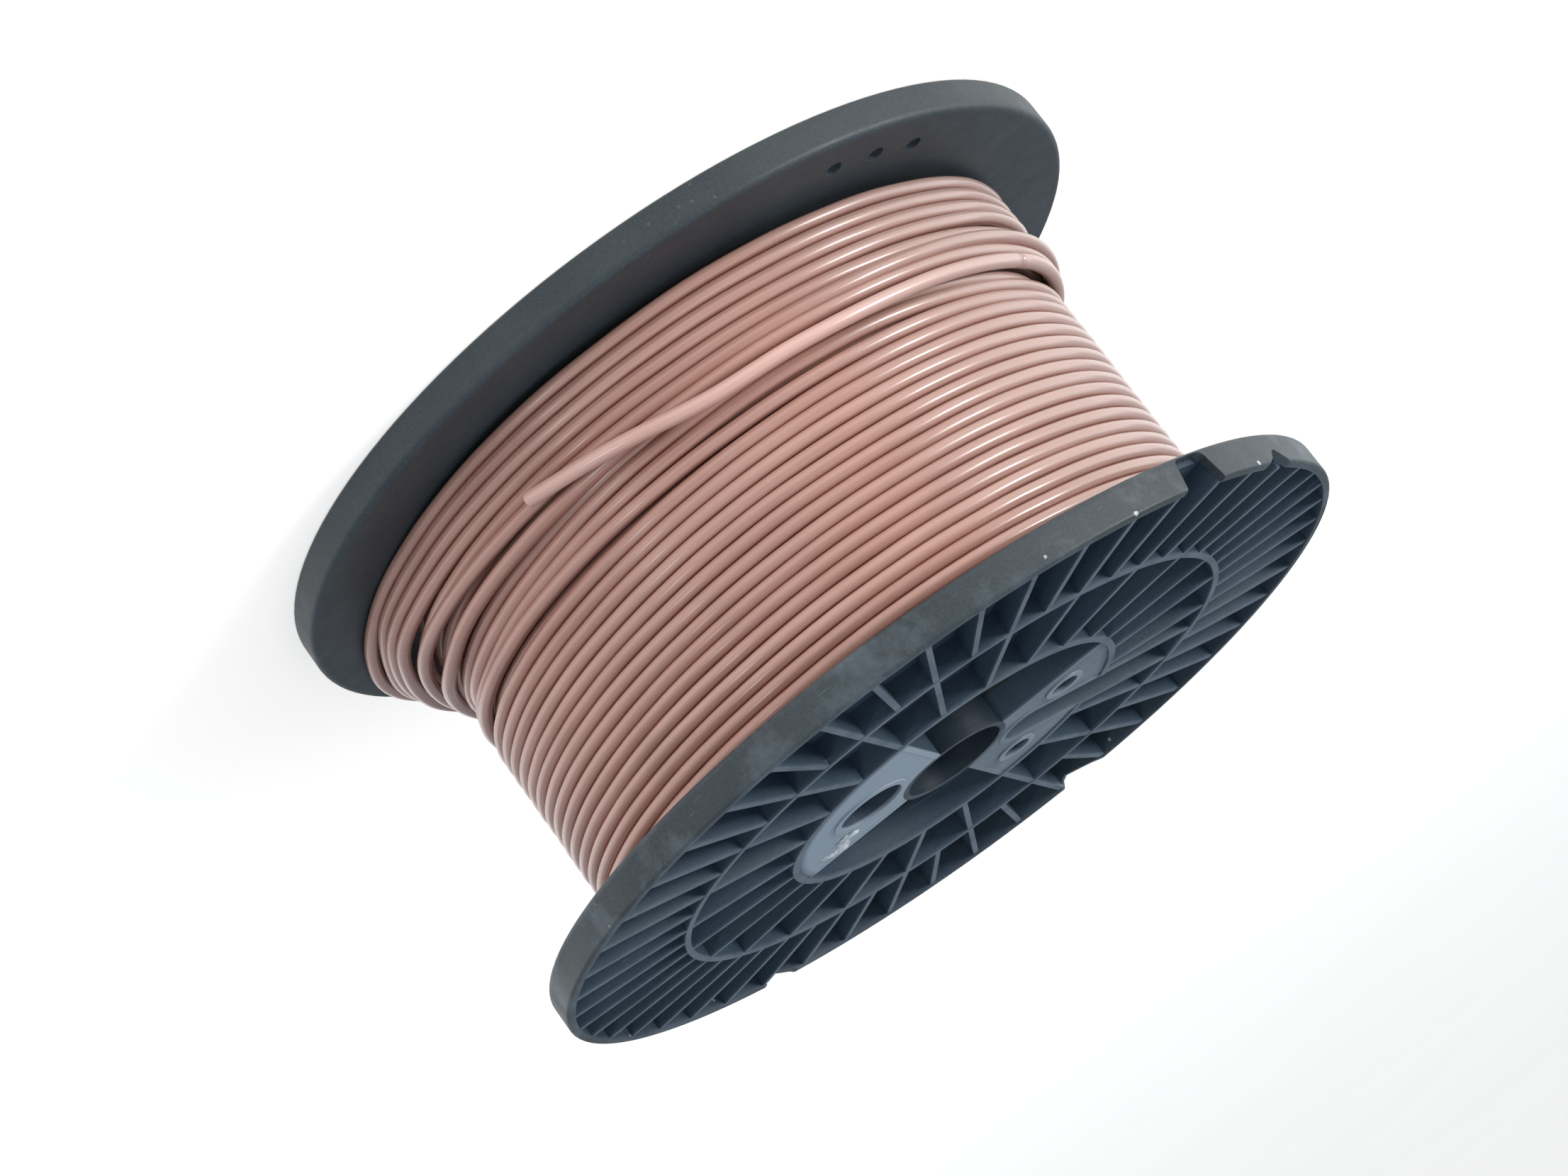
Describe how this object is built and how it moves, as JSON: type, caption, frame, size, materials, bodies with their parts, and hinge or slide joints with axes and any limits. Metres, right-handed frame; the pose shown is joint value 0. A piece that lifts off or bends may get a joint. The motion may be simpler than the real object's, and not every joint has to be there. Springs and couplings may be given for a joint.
{
  "type": "wire spool",
  "caption": "Plastic spool with two ribbed flanges on a core tube, wound with insulated single-core wire whose cut end lies free on the turns.",
  "frame": {"origin": "on the spool's axis, at the resting face: the rim of the far flange", "axes": "+Z along the bore, from the far flange to the near flange; +X from the axis to the near flange's drive hole"},
  "size_m": [0.2, 0.2, 0.1056],
  "materials": {
    "flange_plastic": "moulded, matte, scuffed",
    "hub_plastic": "moulded, matte",
    "wire_insulation": "smooth extruded insulation, satin gloss",
    "wire_core": "cut copper"
  },
  "bodies": {
    "root": {"near_flange": "flange_plastic", "far_flange": "flange_plastic", "barrel": "flange_plastic", "arbor_tube": "hub_plastic", "inner_winding": "wire_insulation", "near_turns": "wire_insulation", "crossover_turns": "wire_insulation", "far_turns": "wire_insulation", "raised_turns": "wire_insulation", "wire_tail": "wire_insulation", "tail_conductor": "wire_core"}
  },
  "joints": []
}
